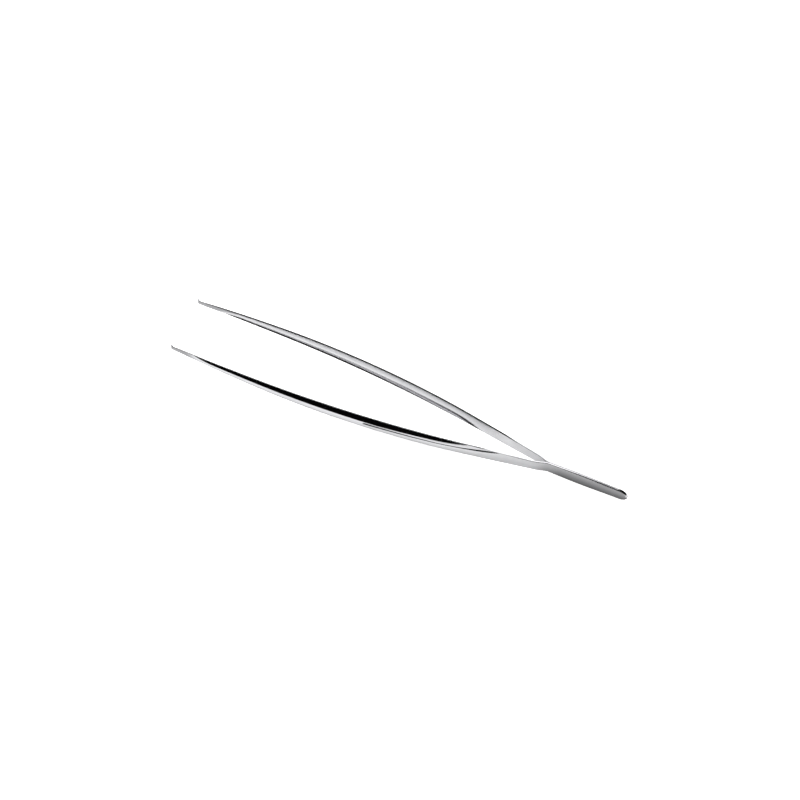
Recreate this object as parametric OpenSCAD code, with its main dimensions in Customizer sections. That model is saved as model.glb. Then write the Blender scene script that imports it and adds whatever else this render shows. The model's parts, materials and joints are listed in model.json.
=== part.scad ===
// Stamp tongs: two spring-steel strips, spot welded together at the heel.
// Each strip is flat over the heel, kinks outward at the fork, turns into a
// shallow gutter where the fingers grip, and ends in a ground, turned-up point.
//
// The tongs lie on the edges of their strips: +X runs from the tips to the
// heel, Y crosses the opening, +Z is up. The origin is in the middle of the
// length, on the mirror plane, at the height of the lowest edge.
// "station" always means a distance from the heel end, towards the tips.

/* [Overall] */
// Length from the heel end to the tips
length = 155; // [140:1:170]
// Thickness of each steel strip
strip_t = 0.55; // [0.4:0.05:0.7]

/* [Side view of an arm] */
// Station of the fork, where the strips part
fork_at = 26.8; // [22:0.1:32]
// Steepest angle of the kink just after the fork
kink_angle = 20; // [14:1:26]
// Angle at which an arm leaves the kink
arm_angle = 9.7; // [8:0.1:11]
// Angle an arm still has where its bow begins
bow_start_angle = 8.6; // [7:0.1:9]
// Station where the bow begins
bow_from = 60; // [52:1:66]
// Station where the bow ends
bow_to = 125; // [115:1:130]
// Angle of an arm at the end of the bow, turned inward
bow_end_angle = 0.5; // [0:0.1:2]
// Angle of an arm at its tip, turned inward
tip_angle = 2.5; // [2:0.1:5]

/* [Outline of a strip] */
// Width at the middle of the heel
heel_w = 5.1; // [4.6:0.1:6]
// Width near the heel end, where the round end begins
heel_end_w = 4.5; // [3:0.1:4.6]
// Length of the round heel end
heel_round = 3; // [2:0.5:6]
// Width of the waist just past the fork
waist_w = 4.2; // [3:0.1:4.5]
// Largest width, where the fingers grip
grip_w = 5.7; // [5:0.1:7]
// Station of the largest width
grip_at = 76; // [68:1:84]
// Width of the point
tip_w = 1.3; // [0.7:0.1:1.4]

/* [Gutter and point] */
// Angle by which the edges of the gutter are turned in
gutter_angle = 41; // [20:1:45]
// Length over which the gutter rises out of the flat strip
gutter_rise = 27; // [15:1:30]
// Station where the gutter begins to flatten towards the point
gutter_to = 140; // [110:1:142]
// Station where the strip is flat again
gutter_end = 153; // [144:1:153]
// Thickness of the point
point_t = 0.38; // [0.3:0.02:0.4]
// Station where the strip begins to be ground thinner
thin_from = 116; // [100:1:130]
// How far the point is turned up above its upper edge
hook_rise = 0.9; // [0.4:0.1:1.4]

/* [Spring and welds] */
// Station about which an arm bends when it is squeezed, in its flat waist
flex_at = 37; // [35:1:50]
// Gap between the two parts of an arm at that station
flex_gap = 0.1; // [0.08:0.01:0.2]
// Diameter of a spot weld
weld_d = 2.2; // [1.5:0.1:2.6]
// Thickness of a spot weld, centred on the seam
weld_t = 0.5; // [0.3:0.05:0.6]
// Number of spot welds
weld_count = 3; // [2:1:4]

/* [Hidden] */
$fn = 64;

steel = [0.78, 0.78, 0.80];
weld_steel = [0.60, 0.60, 0.63];
left = -1;
right = 1;

widest_heel_at = 15;
waist_past_fork = 6;
waist_at = fork_at + waist_past_fork;
kink_out_length = 2.0;
kink_straight_length = 0.5;
kink_back_length = 3.0;
hook_length = 0.7;
hook_rise_length = hook_length * 2 / 3;
weld_margin = 1.1;

path_step = 1;
outline_step = 0.5;
round_steps = 15;
ring_step = 1.5;
hook_steps = 6;
section_steps = 8;
spare = 1;

// An arm's side view: [length of the run, turn in degrees] from the heel end.
kink_out = [kink_out_length, kink_angle];
kink_straight = [kink_straight_length, 0];
kink_back = [kink_back_length, arm_angle - kink_angle];
kink_end = fork_at + kink_out[0] + kink_straight[0] + kink_back[0];
runs = [
    [fork_at, 0],
    kink_out,
    kink_straight,
    kink_back,
    [bow_from - kink_end, bow_start_angle - arm_angle],
    [bow_to - bow_from, -bow_end_angle - bow_start_angle],
    [length - bow_to + spare, bow_end_angle - tip_angle],
];

// The point that a fraction of a run reaches, as [station, offset, angle].
function along(start, run, fraction) =
    let (
        turn = run[1] * fraction,
        arc = run[0] * fraction,
        half = turn / 2,
        chord = half == 0 ? arc : arc * sin(half) / (half * PI / 180)
    )
    [start.x + chord * cos(start.z + half), start.y + chord * sin(start.z + half), start.z + turn];

function walk(start, run = 0) =
    run == len(runs) ? [] :
    let (
        count = ceil(runs[run][0] / path_step),
        points = [for (i = [1:count]) along(start, runs[run], i / count)]
    )
    concat(points, walk(points[count - 1], run + 1));

heel_start = [0, strip_t / 2, 0];
side_view = concat([heel_start], walk(heel_start));
offsets = [for (p = side_view) [p.x, p.y]];
angles = [for (p = side_view) [p.x, p.z]];

// Distance of a strip's middle from the mirror plane, along its edges.
function offset_at(station) = lookup(station, offsets);
function angle_at(station) = lookup(station, angles);

function fraction_between(value, low, high) = min(1, max(0, (value - low) / (high - low)));
function ease(fraction) = (1 - cos(180 * fraction)) / 2;

// Width of a strip: round end, heel, waist, grip, then a parabola to the point.
function heel_width(station) =
    station < widest_heel_at
        ? heel_w - (heel_w - heel_end_w) * ease(fraction_between(station, widest_heel_at, heel_round))
        : heel_w - (heel_w - waist_w) * ease(fraction_between(station, widest_heel_at, waist_at));
function blade_width(station) =
    station < grip_at
        ? grip_w - (grip_w - waist_w) * pow((grip_at - station) / (grip_at - waist_at), 2)
        : grip_w - (grip_w - tip_w) * pow(fraction_between(station, grip_at, length), 2);
function round_end(station) = sqrt(1 - pow(1 - fraction_between(station, 0, heel_round), 2));
function width_at(station) =
    station < waist_at ? heel_width(station) * round_end(station) : blade_width(station);

function thickness_at(station) =
    strip_t + (point_t - strip_t) * ease(fraction_between(station, thin_from, length));

// Depth of the gutter: that of a parabola with the angle at its edges, faded in and out.
function gutter_depth(station) =
    let (
        full = width_at(station) / 4 * tan(gutter_angle),
        fade_in = ease(fraction_between(station, flex_at, flex_at + gutter_rise)),
        fade_out = 1 - ease(fraction_between(station, gutter_to, gutter_end))
    )
    full * fade_in * fade_out;

function hook_at(station) =
    let (start = length - hook_length)
    hook_rise * ease(fraction_between(station, start, start + hook_rise_length));

// One corner of a blade's section. across runs from -1, the lower edge, to 1,
// the upper edge; face is -1 on the inner face and 1 on the outer one.
function corner(station, side, across, face) =
    let (
        half = width_at(station) / 2,
        depth = gutter_depth(station),
        tilt = atan(2 * depth * across / half),
        bow = depth * (1 - across * across),
        out = bow + face * thickness_at(station) / 2 * cos(tilt),
        up = half * across + face * thickness_at(station) / 2 * sin(tilt),
        lift = hook_at(station) * fraction_between(across, 0, 1),
        angle = angle_at(station)
    )
    [-station + out * sin(angle), side * (offset_at(station) + out * cos(angle)), up + lift];

function section(station, side) = concat(
    [for (i = [0:section_steps]) corner(station, side, 2 * i / section_steps - 1, -1)],
    [for (i = [section_steps:-1:0]) corner(station, side, 2 * i / section_steps - 1, 1)]
);

// A closed skin over a list of sections that have the same number of points.
module loft(sections, flip) {
    rings = len(sections);
    corners = len(sections[0]);
    points = [for (ring = sections) each ring];
    walls = [
        for (i = [0:rings - 2], j = [0:corners - 1])
            let (next = (j + 1) % corners, here = i * corners, there = here + corners)
            each [[here + j, here + next, there + j], [here + next, there + next, there + j]]
    ];
    // Each end is closed by a strip of triangles between its two faces.
    function cap(first) = [
        for (i = [0:corners / 2 - 2])
            let (low = first + i, high = first + corners - 1 - i)
            each [[low, high, low + 1], [low + 1, high, high - 1]]
    ];
    function turned(triangles) = [for (t = triangles) [t[2], t[1], t[0]]];
    faces = concat(walls, cap(0), turned(cap((rings - 1) * corners)));
    polyhedron(points, flip ? turned(faces) : faces, convexity = 6);
}

// Half of the tongs' height, where the gutter's outer edge reaches lowest.
half_height = max([for (s = [flex_at:ring_step:length]) -corner(s, right, -1, 1).z]);

// Moves a part drawn from its heel end, about its middle height, into the frame.
module in_frame() {
    translate([length / 2, 0, half_height]) children();
}

// The side view of the part of an arm that the weld holds, with its thickness.
module tang_side_view(side) {
    stations = concat([for (p = side_view) if (p.x < flex_at) p.x], [flex_at]);
    function edge(station, face) =
        let (angle = angle_at(station), out = face * strip_t / 2)
        [-station + out * sin(angle), side * (offset_at(station) + out * cos(angle))];
    count = len(stations);
    polygon(concat(
        [for (i = [0:count - 1]) edge(stations[i], 1)],
        [for (i = [count - 1:-1:0]) edge(stations[i], -1)]
    ));
}

// The outline of that part as the broad face shows it.
module tang_outline() {
    round_stations = [for (i = [0:round_steps - 1]) heel_round * (1 - cos(90 * i / round_steps))];
    straight_stations = [for (s = [heel_round:outline_step:flex_at + spare]) s];
    stations = concat(round_stations, straight_stations);
    count = len(stations);
    polygon(concat(
        [for (i = [0:count - 1]) [-stations[i], width_at(stations[i]) / 2]],
        [for (i = [count - 1:-1:1]) [-stations[i], -width_at(stations[i]) / 2]]
    ));
}

module arm_tang(side) {
    reach = 2 * offset_at(flex_at);
    color(steel) in_frame() intersection() {
        translate([0, 0, -grip_w]) linear_extrude(2 * grip_w) tang_side_view(side);
        translate([0, reach, 0]) rotate([90, 0, 0]) linear_extrude(2 * reach) tang_outline();
    }
}

module arm_blade(side) {
    hook_from = length - hook_length;
    body_stations = [for (s = [flex_at + flex_gap:ring_step:hook_from - ring_step / 2]) s];
    hook_stations = [for (i = [0:hook_steps]) hook_from + hook_length * i / hook_steps];
    stations = concat(body_stations, hook_stations);
    color(steel) in_frame() loft([for (s = stations) section(s, side)], side == left);
}

module spot_weld() {
    rotate([90, 0, 0]) cylinder(d = weld_d, h = weld_t, center = true);
}

module spot_welds() {
    first_at = heel_round + weld_d / 2 + weld_margin;
    last_at = fork_at - weld_d - weld_margin;
    pitch = (last_at - first_at) / (weld_count - 1);
    color(weld_steel) in_frame()
        for (i = [0:weld_count - 1])
            translate([-(first_at + pitch * i), 0, 0]) spot_weld();
}

module left_arm_tang() { arm_tang(left); }
module right_arm_tang() { arm_tang(right); }
module left_arm_blade() { arm_blade(left); }
module right_arm_blade() { arm_blade(right); }

left_arm_tang();
right_arm_tang();
left_arm_blade();
right_arm_blade();
spot_welds();
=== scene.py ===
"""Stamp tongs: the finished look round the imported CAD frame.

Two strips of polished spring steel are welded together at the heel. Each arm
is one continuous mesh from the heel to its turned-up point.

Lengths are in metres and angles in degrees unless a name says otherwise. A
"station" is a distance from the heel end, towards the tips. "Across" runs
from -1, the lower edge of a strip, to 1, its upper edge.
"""
import json
import math

import bpy
import numpy as np
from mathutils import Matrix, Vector


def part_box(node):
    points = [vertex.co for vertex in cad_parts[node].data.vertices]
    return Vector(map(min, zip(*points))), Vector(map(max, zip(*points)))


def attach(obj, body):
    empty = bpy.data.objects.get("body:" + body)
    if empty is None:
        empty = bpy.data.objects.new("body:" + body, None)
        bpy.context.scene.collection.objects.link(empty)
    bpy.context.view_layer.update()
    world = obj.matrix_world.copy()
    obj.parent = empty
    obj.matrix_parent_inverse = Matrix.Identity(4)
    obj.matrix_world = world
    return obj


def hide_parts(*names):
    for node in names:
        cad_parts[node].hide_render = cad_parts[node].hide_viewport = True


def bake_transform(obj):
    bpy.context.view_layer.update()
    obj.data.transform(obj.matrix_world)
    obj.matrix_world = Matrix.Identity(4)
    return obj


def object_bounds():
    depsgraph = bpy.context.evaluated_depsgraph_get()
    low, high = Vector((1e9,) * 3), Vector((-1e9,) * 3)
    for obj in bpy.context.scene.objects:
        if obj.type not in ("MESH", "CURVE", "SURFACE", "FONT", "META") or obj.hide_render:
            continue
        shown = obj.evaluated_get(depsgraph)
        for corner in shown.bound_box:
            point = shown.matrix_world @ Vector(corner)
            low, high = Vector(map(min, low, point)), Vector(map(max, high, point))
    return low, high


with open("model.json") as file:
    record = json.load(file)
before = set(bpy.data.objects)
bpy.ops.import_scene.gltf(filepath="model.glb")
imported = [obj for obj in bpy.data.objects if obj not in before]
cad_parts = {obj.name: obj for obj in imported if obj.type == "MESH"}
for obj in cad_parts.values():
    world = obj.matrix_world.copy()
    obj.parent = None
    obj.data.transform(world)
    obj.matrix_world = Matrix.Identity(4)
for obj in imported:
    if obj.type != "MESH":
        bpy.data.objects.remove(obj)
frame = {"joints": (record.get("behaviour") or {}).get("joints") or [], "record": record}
cad_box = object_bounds()

# ---------------------------------------------------------------- dimensions

MM = 0.001

# From the frame.
heel_face = Vector(frame["record"]["mounts"][0]["pos_m"])
joints = {joint["child"]: joint for joint in frame["joints"]}
heel_x = cad_box[1].x
length = 2 * heel_x
middle_z = heel_face.z
strip_t = abs(heel_face.y)
flex_at = heel_x - joints["left_blade"]["pos_m"][0]

# Side view of an arm, as the CAD source has it.
fork_at = 26.8 * MM
kink_out = 2.0 * MM
kink_straight = 0.5 * MM
kink_back = 3.0 * MM
kink_angle = 20
arm_angle = 9.7
bow_from = 60 * MM
bow_to = 125 * MM
bow_start_angle = 8.6
bow_end_angle = 0.5
tip_angle = 2.5

# Outline of a strip.
heel_w = 5.1 * MM
heel_end_w = 4.5 * MM
heel_round = 3 * MM
widest_heel_at = 15 * MM
waist_w = 4.2 * MM
waist_at = fork_at + 6 * MM
grip_w = 5.7 * MM
grip_at = 76 * MM
tip_w = 1.3 * MM

# Gutter, ground point and turned-up end.
gutter_angle = 41
gutter_rise = 27 * MM
gutter_to = 140 * MM
gutter_end = 153 * MM
point_t = 0.38 * MM
thin_from = 116 * MM
hook_rise = 0.9 * MM
hook_length = 0.7 * MM

# The side view runs on this far past the tip, so that every station lies on it.
past_end = 1 * MM

# Edges. Outside they are polished round at the heel end, and sharper from there to the fork.
heel_edge_r = 0.36 * MM
heel_edge_to = 8 * MM
arm_edge_r = 0.09 * MM
inner_edge_r = 0.07 * MM
tip_corner_r = 0.2 * MM

# Welds. The rim of a nugget is slightly uneven, with a few lobes.
weld_count = 3
weld_d = 2.2 * MM
weld_t = 0.5 * MM
nugget_unevenness = 0.04
nugget_lobes = 5

# Fineness of the meshes.
path_step = 0.1 * MM
row_step = 0.5 * MM
round_rows = 14
hook_rows = 8
corner_rows = 6
across_count = 24
edge_steps = 5
nugget_rings = 6
nugget_segments = 32

LEFT = -1
RIGHT = 1
INSIDE = -1
OUTSIDE = 1


def x_at(station):
    """The x of a station on the tongs' middle line."""
    return heel_x - station


# ------------------------------------------------------------- shape of a strip

def share_between(value, low, high):
    """How far a value is from low, 0, to high, 1."""
    return min(1.0, max(0.0, (value - low) / (high - low)))


def ease(share):
    """The same share with a soft start and a soft end."""
    return (1 - math.cos(math.pi * share)) / 2


def side_view():
    """The middle of a strip from the heel end: rows of station, offset and angle in radians."""
    kink_end = fork_at + kink_out + kink_straight + kink_back
    runs = [
        (fork_at, 0),
        (kink_out, kink_angle),
        (kink_straight, 0),
        (kink_back, arm_angle - kink_angle),
        (bow_from - kink_end, bow_start_angle - arm_angle),
        (bow_to - bow_from, -bow_end_angle - bow_start_angle),
        (length - bow_to + past_end, bow_end_angle - tip_angle),
    ]
    station, offset, angle = 0.0, strip_t / 2, 0.0
    path = [(station, offset, angle)]
    for run_length, turn in runs:
        count = math.ceil(run_length / path_step)
        half_turn = math.radians(turn) / count / 2
        chord = run_length / count * np.sinc(half_turn / math.pi)
        for _ in range(count):
            station += chord * math.cos(angle + half_turn)
            offset += chord * math.sin(angle + half_turn)
            angle += 2 * half_turn
            path.append((station, offset, angle))
    return np.array(path)


PATH = side_view()


def width_at(station):
    """Width of the strip, which narrows to the round heel end, at the waist and to the tip."""
    if station >= grip_at:
        return grip_w - (grip_w - tip_w) * share_between(station, grip_at, length) ** 2
    if station >= waist_at:
        return grip_w - (grip_w - waist_w) * ((grip_at - station) / (grip_at - waist_at)) ** 2
    if station >= widest_heel_at:
        return heel_w - (heel_w - waist_w) * ease(share_between(station, widest_heel_at, waist_at))
    narrowing = ease(share_between(station, widest_heel_at, heel_round))
    round_end = math.sqrt(1 - (1 - share_between(station, 0, heel_round)) ** 2)
    return (heel_w - (heel_w - heel_end_w) * narrowing) * round_end


def thickness_at(station):
    return strip_t + (point_t - strip_t) * ease(share_between(station, thin_from, length))


def gutter_depth(station):
    """How far the strip's middle stands out past its edges."""
    full = width_at(station) / 4 * math.tan(math.radians(gutter_angle))
    fade_in = ease(share_between(station, flex_at, flex_at + gutter_rise))
    fade_out = 1 - ease(share_between(station, gutter_to, gutter_end))
    return full * fade_in * fade_out


def tip_corner(station):
    """How much the round corners of the tip take off each edge."""
    past = max(0.0, station - length + tip_corner_r)
    return tip_corner_r - math.sqrt(max(0.0, tip_corner_r ** 2 - past ** 2))


def top_edge(station):
    """Height of the upper edge above the strip's middle, with the turned-up end."""
    hook = hook_rise * ease(share_between(station, length - hook_length, length - hook_length / 3))
    return width_at(station) / 2 + hook - tip_corner(station)


def bottom_edge(station):
    return tip_corner(station) - width_at(station) / 2


def place(side, station, z, out):
    """Bends a point of the flat strip into the frame.

    z is its height above the strip's middle, and out its distance from the middle face.
    """
    half = width_at(station) / 2
    depth = gutter_depth(station)
    across = z / half if depth else 0.0
    tilt = math.atan2(2 * depth * across, half)
    offset = np.interp(station, PATH[:, 0], PATH[:, 1])
    angle = np.interp(station, PATH[:, 0], PATH[:, 2])
    bow = depth * (1 - across ** 2) + out * math.cos(tilt)
    return (
        x_at(station) + bow * math.sin(angle),
        side * (offset + bow * math.cos(angle)),
        middle_z + z + out * math.sin(tilt),
    )


# ---------------------------------------------------------------- mesh of an arm

def quarter_turns(count):
    """Angles in radians from 0 to a quarter turn, in equal steps."""
    return [math.pi / 2 * i / count for i in range(count + 1)]


def even_steps(low, high, count):
    """Values from low up to the last before high."""
    return [low + (high - low) * i / count for i in range(count)]


def row_stations():
    """Stations of the rows of a strip's mesh, closer together where its ends are round."""
    hook_from = length - hook_length
    corner_from = length - tip_corner_r
    body_count = round((hook_from - heel_round) / row_step)
    heel = [heel_round * (1 - math.cos(turn)) for turn in quarter_turns(round_rows)[1:-1]]
    body = even_steps(heel_round, hook_from, body_count)
    hook = even_steps(hook_from, corner_from, hook_rows)
    corner = [corner_from + tip_corner_r * math.sin(turn) for turn in quarter_turns(corner_rows)]
    return heel + body + hook + corner


def across_steps():
    """Shares of the way across a strip, closer together near its edges."""
    return [ease(i / across_count) for i in range(across_count + 1)]


def outline(stations):
    """The strip's outline: heel end, upper edge, down the end of the tip, and the lower edge back."""
    end = stations[-1]
    top, bottom = top_edge(end), bottom_edge(end)
    tip = [(end, top + (bottom - top) * step) for step in across_steps()[1:-1]]
    upper = [(station, top_edge(station)) for station in stations]
    lower = [(station, bottom_edge(station)) for station in reversed(stations)]
    return np.array([(0.0, 0.0)] + upper + tip + lower)


def inward(loop):
    """Unit normals that point into a closed outline that runs clockwise."""
    along = np.roll(loop, -1, axis=0) - np.roll(loop, 1, axis=0)
    normals = np.stack([along[:, 1], -along[:, 0]], axis=1)
    return normals / np.linalg.norm(normals, axis=1)[:, None]


def edge_profile(station):
    """Section of the edge, from the outer face to the inner one: pairs of inset and distance out."""
    half_t = thickness_at(station) / 2
    thinning = thickness_at(station) / strip_t
    sharpening = ease(share_between(station, heel_edge_to, fork_at))
    outer_r = (heel_edge_r + (arm_edge_r - heel_edge_r) * sharpening) * thinning
    inner_r = inner_edge_r * thinning
    turns = quarter_turns(edge_steps)
    outer = [
        (outer_r * (1 - math.sin(turn)), half_t - outer_r * (1 - math.cos(turn)))
        for turn in turns
    ]
    inner = [
        (inner_r * (1 - math.cos(turn)), inner_r * (1 - math.sin(turn)) - half_t)
        for turn in turns
    ]
    return outer + inner


class StripMesh:
    """Collects the points of one strip, with what its material needs to know of each."""

    def __init__(self, side):
        self.side = side
        self.points = []
        self.flat = []
        self.edge = []
        self.outside = []
        self.faces = []

    def add(self, station, z, out, edge):
        """Adds a point and returns its number. edge is 1 on the rounded rim and 0 on a broad face."""
        self.points.append(place(self.side, station, z, out))
        self.flat.append((station, z))
        self.edge.append(edge)
        self.outside.append(1.0 if out > 0 else 0.0)
        return len(self.points) - 1

    def face(self, *corners):
        """Adds a face, turned over on the left arm because that arm is a mirror image."""
        self.faces.append(corners if self.side == RIGHT else tuple(reversed(corners)))


def add_rim(strip, loop):
    """The edge all round a strip. Returns its rings of points, one for each step of its section."""
    normals = inward(loop)
    count = len(loop)
    profiles = [edge_profile(station) for station, z in loop]
    rings = []
    for step in range(len(profiles[0])):
        ring = []
        for point, normal, profile in zip(loop, normals, profiles):
            inset, out = profile[step]
            station, z = point + inset * normal
            is_face = step in (0, len(profile) - 1)
            ring.append(strip.add(station, z, out, 0.0 if is_face else 1.0))
        rings.append(ring)
    for here, there in zip(rings, rings[1:]):
        for i in range(count):
            after = (i + 1) % count
            strip.face(here[i], here[after], there[after], there[i])
    return rings


def between(strip, low, high, out_side):
    """New points between two points of the rim, without the two."""
    start, end = np.array(strip.flat[low]), np.array(strip.flat[high])
    made = []
    for step in across_steps()[1:-1]:
        station, z = start + (end - start) * step
        made.append(strip.add(station, z, out_side * thickness_at(station) / 2, 0.0))
    return made


def broad_face_rows(strip, ring, row_count, out_side):
    """Rows of points across a broad face. The first is the one point at the heel end."""
    lower_end = len(ring)
    rows = [[ring[0]]]
    for i in range(1, row_count):
        low, high = ring[lower_end - i], ring[i]
        rows.append([low] + between(strip, low, high, out_side) + [high])
    tip = ring[row_count:lower_end - row_count + 1]
    rows.append(list(reversed(tip)))
    return rows


def add_broad_face(strip, ring, row_count, out_side):
    """Fills a ring of the rim with rows of faces across the strip."""
    rows = broad_face_rows(strip, ring, row_count, out_side)
    for here, there in zip(rows, rows[1:]):
        for j in range(across_count):
            if len(here) == 1:
                corners = (here[0], there[j + 1], there[j])
            else:
                corners = (here[j], here[j + 1], there[j + 1], there[j])
            if out_side == INSIDE:
                corners = tuple(reversed(corners))
            strip.face(*corners)


def add_object(name, data):
    """Puts a mesh, light or camera into the scene."""
    made = bpy.data.objects.new(name, data)
    bpy.context.scene.collection.objects.link(made)
    return made


def strip_object(name, strip):
    """The strip's mesh, with its flat shape as UV map and its point values as attributes."""
    mesh = bpy.data.meshes.new(name)
    mesh.from_pydata(strip.points, [], strip.faces)
    mesh.shade_smooth()
    uv_map = mesh.uv_layers.new(name="flat_strip")
    flat = np.array(strip.flat) / length
    corner_points = [loop.vertex_index for loop in mesh.loops]
    uv_map.data.foreach_set("uv", flat[corner_points].astype(np.float32).ravel())
    for attribute_name, values in (("edge", strip.edge), ("outside", strip.outside)):
        attribute = mesh.attributes.new(attribute_name, "FLOAT", "POINT")
        attribute.data.foreach_set("value", np.array(values, np.float32))
    mesh.validate()
    return add_object(name, mesh)


def build_arm(name, side):
    """One strip of spring steel from the heel to its point."""
    stations = row_stations()
    strip = StripMesh(side)
    rings = add_rim(strip, outline(stations))
    add_broad_face(strip, rings[0], len(stations), OUTSIDE)
    add_broad_face(strip, rings[-1], len(stations), INSIDE)
    return strip_object(name, strip)


# ------------------------------------------------------------------- weld nuggets

def nugget_points(centre, weld):
    """Points of one lens-shaped nugget, in rings from one side of the seam to the other."""
    points = []
    for ring in range(nugget_rings + 1):
        turn = math.pi * ring / nugget_rings
        for segment in range(nugget_segments):
            around = 2 * math.pi * segment / nugget_segments
            shrink = 1 - nugget_unevenness * (1 + math.sin(nugget_lobes * around + 2 * weld))
            radius = weld_d / 2 * math.sin(turn) * shrink
            out = weld_t / 2 * math.cos(turn)
            points.append(centre + Vector((radius * math.cos(around), out, radius * math.sin(around))))
    return points


def nugget_faces(first):
    """Faces of the nugget whose first point has that number."""
    faces = []
    for ring in range(nugget_rings):
        ring_start = first + ring * nugget_segments
        for segment in range(nugget_segments):
            here = ring_start + segment
            after = ring_start + (segment + 1) % nugget_segments
            faces.append((here, after, after + nugget_segments, here + nugget_segments))
    return faces


def build_welds(name):
    """The nuggets of fused steel inside the seam, joined in one piece."""
    low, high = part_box("spot_welds")
    first_x = low.x + weld_d / 2
    pitch = (high.x - low.x - weld_d) / (weld_count - 1)
    points, faces = [], []
    for weld in range(weld_count):
        faces += nugget_faces(len(points))
        points += nugget_points(Vector((first_x + pitch * weld, 0, middle_z)), weld)
    mesh = bpy.data.meshes.new(name)
    mesh.from_pydata(points, [], faces)
    mesh.shade_smooth()
    return add_object(name, mesh)


# ---------------------------------------------------------------------- materials

# Sockets of a colour Mix node, which share their names with its other kinds' sockets.
MIX_SHARE, MIX_FIRST, MIX_SECOND, MIX_RESULT = 0, 6, 7, 2

WHITE = (1, 1, 1, 1)


class Nodes:
    """A small helper round a material's node tree."""

    def __init__(self, name):
        self.material = bpy.data.materials.new(name)
        self.material.use_nodes = True
        self.tree = self.material.node_tree
        self.shader = self.tree.nodes["Principled BSDF"]

    def add(self, kind, inputs=None, **settings):
        node = self.tree.nodes.new(kind)
        for key, value in settings.items():
            setattr(node, key, value)
        for key, value in (inputs or {}).items():
            self.feed(value, node.inputs[key])
        return node

    def feed(self, value, socket):
        """Links another node's output to a socket, or sets a constant on the socket itself."""
        if isinstance(value, bpy.types.NodeSocket):
            self.tree.links.new(value, socket)
        else:
            socket.default_value = value

    def set(self, input_name, value):
        self.feed(value, self.shader.inputs[input_name])

    def set_dull(self):
        """Takes all shine off the surface."""
        self.set("Roughness", 1.0)
        self.set("Specular IOR Level", 0.0)

    def attribute(self, name):
        return self.add("ShaderNodeAttribute", attribute_name=name).outputs["Fac"]

    def object_position(self):
        return self.add("ShaderNodeTexCoord").outputs["Object"]

    def parts(self, vector):
        """The x and the y of a vector."""
        split = self.add("ShaderNodeSeparateXYZ", {"Vector": vector})
        return split.outputs["X"], split.outputs["Y"]

    def noise(self, vector, scale, detail=2.0, roughness=0.5):
        node = self.add("ShaderNodeTexNoise", {
            "Vector": vector, "Scale": scale, "Detail": detail, "Roughness": roughness})
        return node.outputs["Fac"]

    def streaks(self, vector, along, across, detail=2.0, roughness=0.5):
        """Noise with that many waves in a strip's length, along the strip and across it."""
        stretched = self.add("ShaderNodeMapping", {"Vector": vector, "Scale": (along, across, 1.0)})
        return self.noise(stretched.outputs["Vector"], 1, detail, roughness)

    def remap(self, value, source, target):
        """Maps one range, a pair, to another, and holds the target's ends outside it."""
        node = self.add("ShaderNodeMapRange", {
            "Value": value, "From Min": source[0], "From Max": source[1],
            "To Min": target[0], "To Max": target[1]})
        return node.outputs["Result"]

    def math(self, operation, first, second):
        node = self.add("ShaderNodeMath", {0: first, 1: second}, operation=operation)
        return node.outputs["Value"]

    def mix(self, share, first, second):
        node = self.add("ShaderNodeMix", {"Factor": share, "A": first, "B": second}, data_type="FLOAT")
        return node.outputs["Result"]

    def mix_colour(self, share, first, second):
        sockets = {MIX_SHARE: share, MIX_FIRST: first, MIX_SECOND: second}
        return self.add("ShaderNodeMix", sockets, data_type="RGBA").outputs[MIX_RESULT]

    def bump(self, height, distance, strength, normal=None):
        inputs = {"Height": height, "Distance": distance, "Strength": strength}
        if normal is not None:
            inputs["Normal"] = normal
        return self.add("ShaderNodeBump", inputs).outputs["Normal"]


def ground_share(nodes, flat, outside):
    """0 where the strip is polished and 1 where its point is ground, past a slightly uneven line.

    Inside, that line slants from the upper edge far back to the lower edge near the tip.
    Outside, it crosses the strip nearly square.
    """
    inside_slant, outside_slant = 8.0, -0.9
    inside_from, outside_from = 140 * MM / length, 145 * MM / length
    change = 4 * MM / length
    wander = 0.008
    station, height = nodes.parts(flat)
    slant = nodes.math("MULTIPLY", height, nodes.mix(outside, inside_slant, outside_slant))
    uneven = nodes.remap(nodes.streaks(flat, along=60, across=500), (0.3, 0.7), (-wander, wander))
    along = nodes.math("ADD", nodes.math("ADD", station, slant), uneven)
    past_line = nodes.math("SUBTRACT", along, nodes.mix(outside, inside_from, outside_from))
    return nodes.remap(past_line, (0, change), (0, 1))


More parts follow.
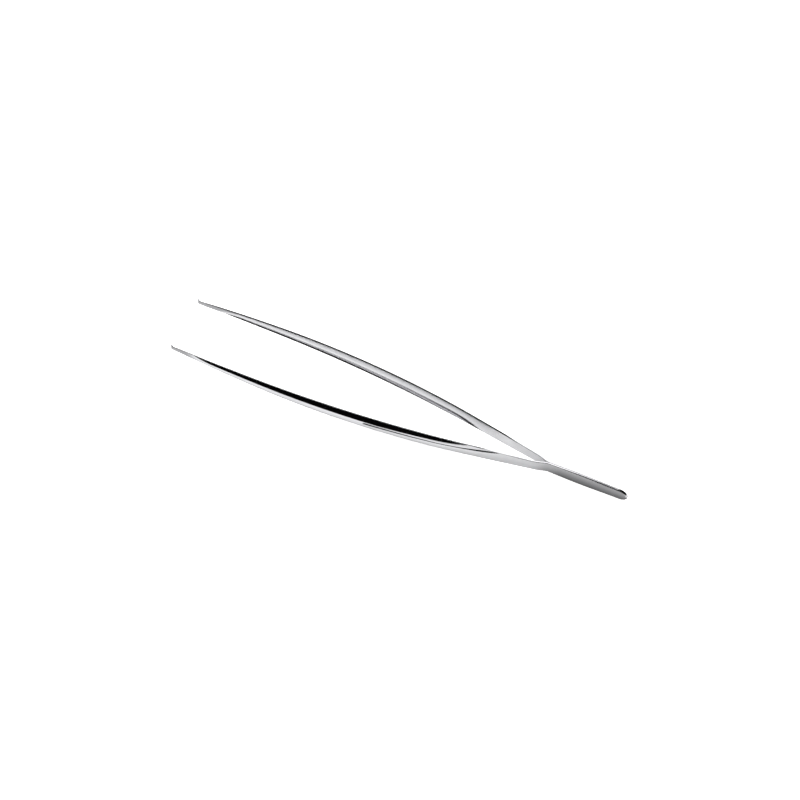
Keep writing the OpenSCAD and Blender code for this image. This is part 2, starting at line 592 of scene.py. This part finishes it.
def polished_steel():
    """Mirror-polished stainless steel, satin where the point was ground."""
    bright, smeared = (0.66, 0.66, 0.675, 1), (0.61, 0.61, 0.625, 1)
    ground_dark, ground_light = (0.31, 0.31, 0.32, 1), (0.42, 0.42, 0.43, 1)
    edge_roughness = 0.07

    nodes = Nodes("polished_steel")
    flat = nodes.add("ShaderNodeUVMap", uv_map="flat_strip").outputs["UV"]
    ground = ground_share(nodes, flat, nodes.attribute("outside"))
    hairlines = nodes.streaks(flat, along=9, across=2600, detail=4, roughness=0.65)
    smears = nodes.streaks(flat, along=16, across=70, detail=3, roughness=0.6)
    grinding = nodes.streaks(flat, along=1500, across=120, detail=3, roughness=0.6)
    waves = nodes.streaks(flat, along=22, across=60, detail=1)

    lined_rough = nodes.remap(hairlines, (0.35, 0.7), (0.05, 0.10))
    smeared_rough = nodes.remap(smears, (0.4, 0.7), (0.0, 0.05))
    face_rough = nodes.math("ADD", lined_rough, smeared_rough)
    polished_rough = nodes.mix(nodes.attribute("edge"), face_rough, edge_roughness)
    ground_rough = nodes.remap(grinding, (0.3, 0.7), (0.30, 0.42))
    nodes.set("Roughness", nodes.mix(ground, polished_rough, ground_rough))

    polished_colour = nodes.mix_colour(nodes.remap(smears, (0.35, 0.7), (0, 1)), bright, smeared)
    ground_colour = nodes.mix_colour(
        nodes.remap(grinding, (0.3, 0.7), (0, 1)), ground_dark, ground_light)
    nodes.set("Base Color", nodes.mix_colour(ground, polished_colour, ground_colour))

    wavy = nodes.bump(waves, distance=0.02 * MM, strength=0.25)
    lined = nodes.bump(hairlines, distance=0.001 * MM, strength=0.5, normal=wavy)
    grain_strength = nodes.math("MULTIPLY", ground, 0.8)
    nodes.set("Normal", nodes.bump(grinding, 0.004 * MM, grain_strength, normal=lined))
    nodes.set("Metallic", 1.0)
    return nodes.material


def weld_steel():
    """Fused steel with a dull, heat-tinted skin."""
    tinted, bare = (0.36, 0.31, 0.27, 1), (0.55, 0.55, 0.58, 1)
    nodes = Nodes("weld_steel")
    mottle = nodes.noise(nodes.object_position(), 1800, detail=4)
    nodes.set("Base Color", nodes.mix_colour(nodes.remap(mottle, (0.35, 0.65), (0, 1)), tinted, bare))
    nodes.set("Roughness", nodes.remap(mottle, (0.3, 0.7), (0.35, 0.6)))
    nodes.set("Normal", nodes.bump(mottle, distance=0.01 * MM, strength=0.6))
    nodes.set("Metallic", 1.0)
    return nodes.material


def pale_floor(glow):
    """White paper with a faint grain, which gives off some light of its own where glow is above 0."""
    darker, lighter = (0.90, 0.90, 0.90, 1), (0.92, 0.92, 0.92, 1)
    nodes = Nodes("pale_floor")
    grain = nodes.noise(nodes.object_position(), 40, detail=3)
    nodes.set("Base Color", nodes.mix_colour(grain, darker, lighter))
    nodes.set("Roughness", 0.9)
    nodes.set("Specular IOR Level", 0.1)
    nodes.set("Emission Color", WHITE)
    nodes.set("Emission Strength", glow)
    return nodes.material


def black_card():
    """Card as black as velvet, so that its reflection is a clean dark line."""
    darker, lighter = (0.002, 0.002, 0.002, 1), (0.004, 0.004, 0.004, 1)
    nodes = Nodes("black_card")
    grain = nodes.noise(nodes.object_position(), 60)
    nodes.set("Base Color", nodes.mix_colour(grain, darker, lighter))
    nodes.set_dull()
    return nodes.material


def graded_shade(clear, dark, densest):
    """Painted shadow: near-black that is clear at the x and at the y of clear, and densest at both of
    dark.
    """
    nodes = Nodes("graded_shade")
    x, y = nodes.parts(nodes.object_position())
    along = nodes.remap(x, (clear[0], dark[0]), (0.0, 1.0))
    beside = nodes.remap(y, (clear[1], dark[1]), (0.0, densest))
    nodes.set("Alpha", nodes.math("MULTIPLY", along, beside))
    nodes.set("Base Color", (0.01, 0.01, 0.01, 1))
    nodes.set_dull()
    return nodes.material


def graded_glow(clear_x, bright_x, strength):
    """Painted light: a white glow at bright_x that fades out towards clear_x."""
    nodes = Nodes("graded_glow")
    x, _ = nodes.parts(nodes.object_position())
    nodes.set("Alpha", nodes.remap(x, (clear_x, bright_x), (0.0, 1.0)))
    nodes.set("Emission Color", WHITE)
    nodes.set("Emission Strength", strength)
    nodes.set_dull()
    return nodes.material


# ------------------------------------------------------------- floor, light, camera

def sheet_object(name, corners, material):
    """A flat sheet of the studio, which is no part of the tongs."""
    mesh = bpy.data.meshes.new(name)
    mesh.from_pydata(corners, [], [tuple(range(len(corners)))])
    mesh.materials.append(material)
    made = add_object(name, mesh)
    return made


def add_floor():
    """A lit white table top, and just below it the paper that reflections see, with its shadows."""
    reach = 10 * length
    top_glow = 0.75
    paper_z = -0.02 * MM
    corners = [(-reach, -reach), (reach, -reach), (reach, reach), (-reach, reach)]
    table_top = sheet_object("floor", [(x, y, 0) for x, y in corners], pale_floor(top_glow))
    table_top.visible_glossy = False
    table_top.visible_diffuse = False
    table_top.visible_shadow = False
    sheet_object("floor_in_reflections", [(x, y, paper_z) for x, y in corners], pale_floor(0.0))


def add_reflected_sheet(name, corners, material):
    """A sheet that only reflections see, as a studio uses them to draw lines in polished metal."""
    sheet = sheet_object(name, corners, material)
    sheet.visible_camera = False
    sheet.visible_diffuse = False
    sheet.visible_shadow = False


def add_front_card():
    """Draws the black band along the near arm.

    The card's lower edge rises beside the waist, so that the band tapers there.
    """
    y = -22 * MM
    low, risen, high = 0.3 * MM, 10 * MM, 28 * MM
    fork_end, rise_from, tips_end = x_at(33.5 * MM), x_at(83.5 * MM), x_at(277.5 * MM)
    side_view_corners = [
        (tips_end, low), (rise_from, low), (fork_end, risen), (fork_end, high), (tips_end, high)]
    add_reflected_sheet("front_card", [(x, y, z) for x, z in side_view_corners], black_card())


def add_painted_shadow_line():
    """A black strip on the floor before the near arm's waist, a painted shadow of that arm, which
    draws a thin dark line along it.

    The strip ends in a point towards the fork.
    """
    width, z = 4.5 * MM, 0.05 * MM
    bends = [
        (x_at(88 * MM), -14 * MM),
        (x_at(58 * MM), -15.5 * MM),
        (x_at(49 * MM), -10.7 * MM),
    ]
    point = (x_at(43 * MM), -8.5 * MM, z)
    upper_side = [(x, y, z) for x, y in reversed(bends)]
    lower_side = [(x, y - width, z) for x, y in bends]
    # Painted shadow: black card where the near arm's shadow would fall, seen only in reflections.
    add_reflected_sheet("floor_line", lower_side + [point] + upper_side, black_card())


def add_heel_painted_shadow():
    """A painted contact shadow on the floor under the heel, graded from clear to dark, which darkens
    what its outer face reflects.
    """
    x0, x1 = x_at(fork_at + 7 * MM), x_at(-2 * MM)
    y0, y1, z = -6 * MM, 3 * MM, 0.05 * MM
    dark_x, dark_y = x0 + 10 * MM, -0.5 * MM
    # Painted contact shadow: a near-black sheet, seen only in reflections, in place of the heel's
    # shadow on the floor.
    shade = graded_shade(clear=(x0, y0), dark=(dark_x, dark_y), densest=0.85)
    add_reflected_sheet("heel_shade", [(x0, y0, z), (x1, y0, z), (x1, y1, z), (x0, y1, z)], shade)


def add_fork_painted_light():
    """A glowing sheet between the waists, painted light that only reflections see, which lights the
    inner faces near the fork.
    """
    near_x, far_x = x_at(fork_at + 2 * MM), x_at(fork_at + 30 * MM)
    near_y, far_y, z = 0.4 * MM, 4.5 * MM, 0.04 * MM
    corners = [(near_x, -near_y, z), (near_x, near_y, z), (far_x, far_y, z), (far_x, -far_y, z)]
    # Painted light: a glowing sheet, seen only in reflections, that brightens the shaded floor between
    # the arms.
    add_reflected_sheet("fork_glow", corners, graded_glow(far_x, near_x, strength=0.55))


def add_heel_card():
    """A black card that faces the heel end and darkens its round edge."""
    direction = Vector((0.5, 0.514, 0.6)).normalized()
    distance, half_size = 55 * MM, 45 * MM
    centre = Vector((heel_x, 0, middle_z)) + direction * distance
    right = direction.cross(Vector((0, 0, 1))).normalized() * half_size
    up = right.cross(direction).normalized() * half_size
    corners = [centre - right - up, centre + right - up, centre + right + up, centre - right + up]
    add_reflected_sheet("heel_card", corners, black_card())


def aim(light_object, centre, target):
    """Puts a light at centre and turns it towards target."""
    light_object.location = centre
    back = Vector(centre) - Vector(target)
    light_object.rotation_euler = back.to_track_quat("Z", "Y").to_euler()


def add_world():
    """A nearly dark room, so that the steel is lit by what stands round it."""
    world = bpy.data.worlds.new("studio")
    world.use_nodes = True
    background = world.node_tree.nodes["Background"]
    background.inputs["Color"].default_value = WHITE
    background.inputs["Strength"].default_value = 0.02
    bpy.context.scene.world = world


def add_softbox():
    """A big dim softbox above and behind the tongs, which their faces reflect."""
    x, y, height = -0.4, 1.22, 1.0
    light = bpy.data.lights.new("overhead_softbox", "AREA")
    light.shape = "RECTANGLE"
    light.size, light.size_y = 1.05, 1.45
    light.energy = 9.0
    aim(add_object("overhead_softbox", light), (x, y, height), (x, y, 0))


def add_fill():
    """Soft light from overhead, which reflections don't see, so that it lights the floor only."""
    light = bpy.data.lights.new("fill", "SUN")
    light.energy = 2.9
    light.angle = math.radians(90)
    add_object("fill", light).visible_glossy = False


def add_front_spot():
    """A soft pool of light on the paper before the near arm, which that arm reflects."""
    light = bpy.data.lights.new("front_spot", "SPOT")
    light.energy = 7.0
    light.shadow_soft_size = 0.04
    light.spot_size = math.radians(24)
    light.spot_blend = 1.0
    spot = add_object("front_spot", light)
    spot.visible_glossy = False
    aim(spot, (-0.25, -0.4, 0.45), (-0.045, -0.01, 0))


def add_camera():
    """A long lens, so that the tongs show little perspective. It aims a little off their middle."""
    azimuth, elevation = math.radians(25.33), math.radians(55.36)
    lens, sensor = 400, 36
    frame_width = 253.1 * MM
    aim_left, aim_up = 1.47 * MM, 3.24 * MM
    back = Vector((
        math.sin(azimuth) * math.cos(elevation),
        -math.cos(azimuth) * math.cos(elevation),
        math.sin(elevation),
    ))
    rotation = back.to_track_quat("Z", "Y")
    right, up = rotation @ Vector((1, 0, 0)), rotation @ Vector((0, 1, 0))
    aim_point = Vector((0, 0, middle_z)) - right * aim_left + up * aim_up
    camera = bpy.data.cameras.new("camera")
    camera.lens = lens
    camera.sensor_width = sensor
    made = add_object("camera", camera)
    made.location = aim_point + back * frame_width * lens / sensor
    made.rotation_euler = rotation.to_euler()
    bpy.context.scene.camera = made


# ------------------------------------------------------------------------ assembly


def add_arm(name, side, steel):
    """One arm in one piece, which takes the place of its tang and blade from the frame."""
    arm = build_arm(name, side)
    arm.data.materials.append(steel)
    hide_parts(name + "_tang", name + "_blade")
    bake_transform(arm)


def add_welds():
    welds = build_welds("weld_nuggets")
    welds.data.materials.append(weld_steel())
    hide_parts("spot_welds")
    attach(welds, "heel")


def add_studio():
    """Floor; the sheets that reflections see, which include painted shadows and a painted light;
    lights and camera.
    """
    add_floor()
    add_front_card()
    add_heel_card()
    add_heel_painted_shadow()
    add_fork_painted_light()
    add_painted_shadow_line()
    add_world()
    add_softbox()
    add_fill()
    add_front_spot()
    add_camera()
    bpy.context.scene.view_settings.view_transform = "Standard"


steel = polished_steel()
add_arm("left_arm", LEFT, steel)
add_arm("right_arm", RIGHT, steel)
add_welds()
add_studio()
